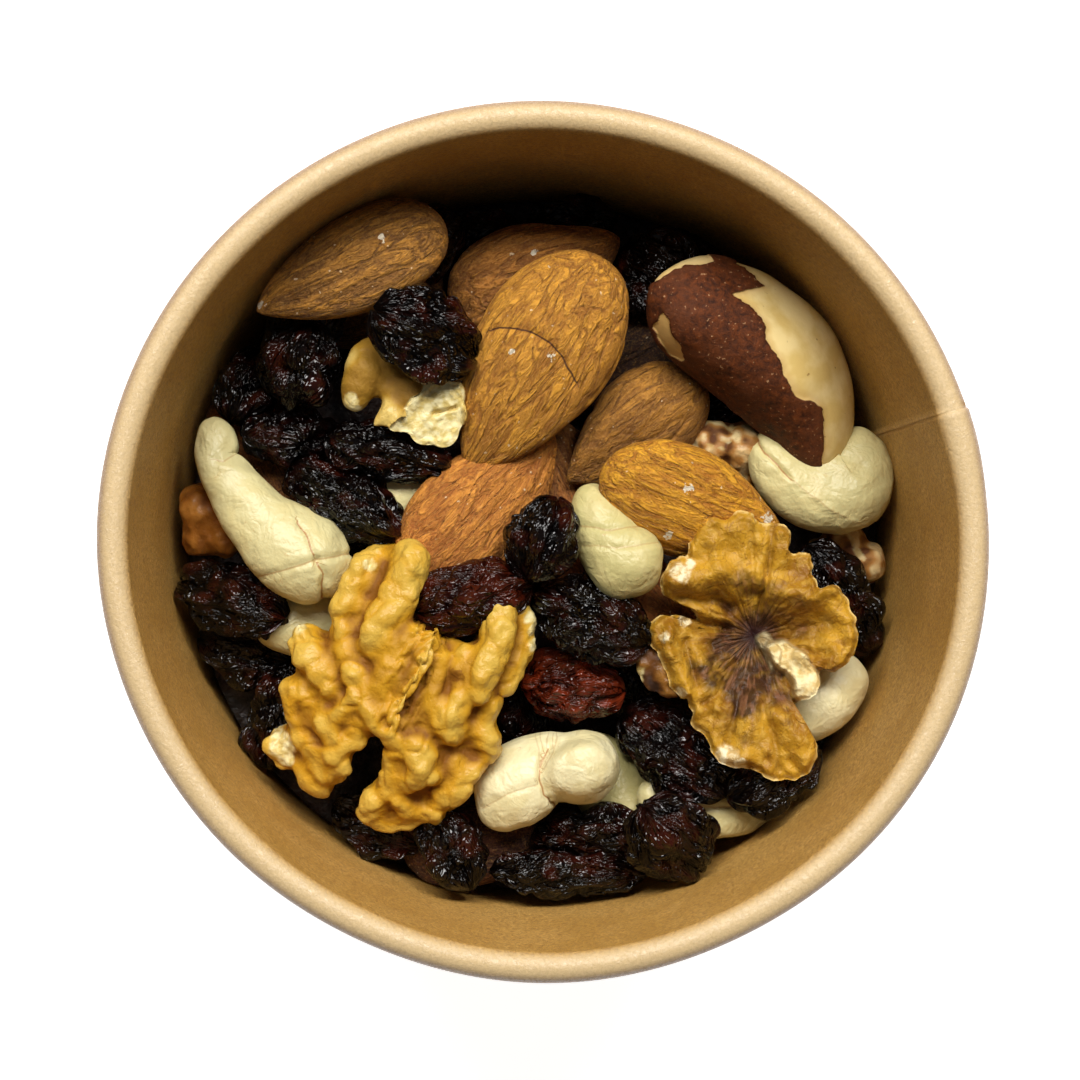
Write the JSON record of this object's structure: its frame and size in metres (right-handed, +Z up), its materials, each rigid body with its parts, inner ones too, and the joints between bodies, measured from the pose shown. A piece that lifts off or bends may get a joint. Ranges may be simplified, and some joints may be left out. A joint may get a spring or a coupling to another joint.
{
  "type": "bowl of trail mix",
  "caption": "Tapered kraft-paper bowl with a rolled rim, filled a little over halfway with whole almonds, raisins, cashews, walnut halves and Brazil nut.",
  "frame": {"origin": "middle of the ring that the bowl stands on", "axes": "+Z up along the bowl's axis, +X to the right and +Y to the back as seen from above"},
  "size_m": [0.09, 0.09, 0.06],
  "materials": {
    "kraft_paper": "satin",
    "nuts_and_raisins": "matte"
  },
  "bodies": {
    "root": {"paper_bowl": "kraft_paper", "trail_mix": "nuts_and_raisins"}
  },
  "joints": []
}
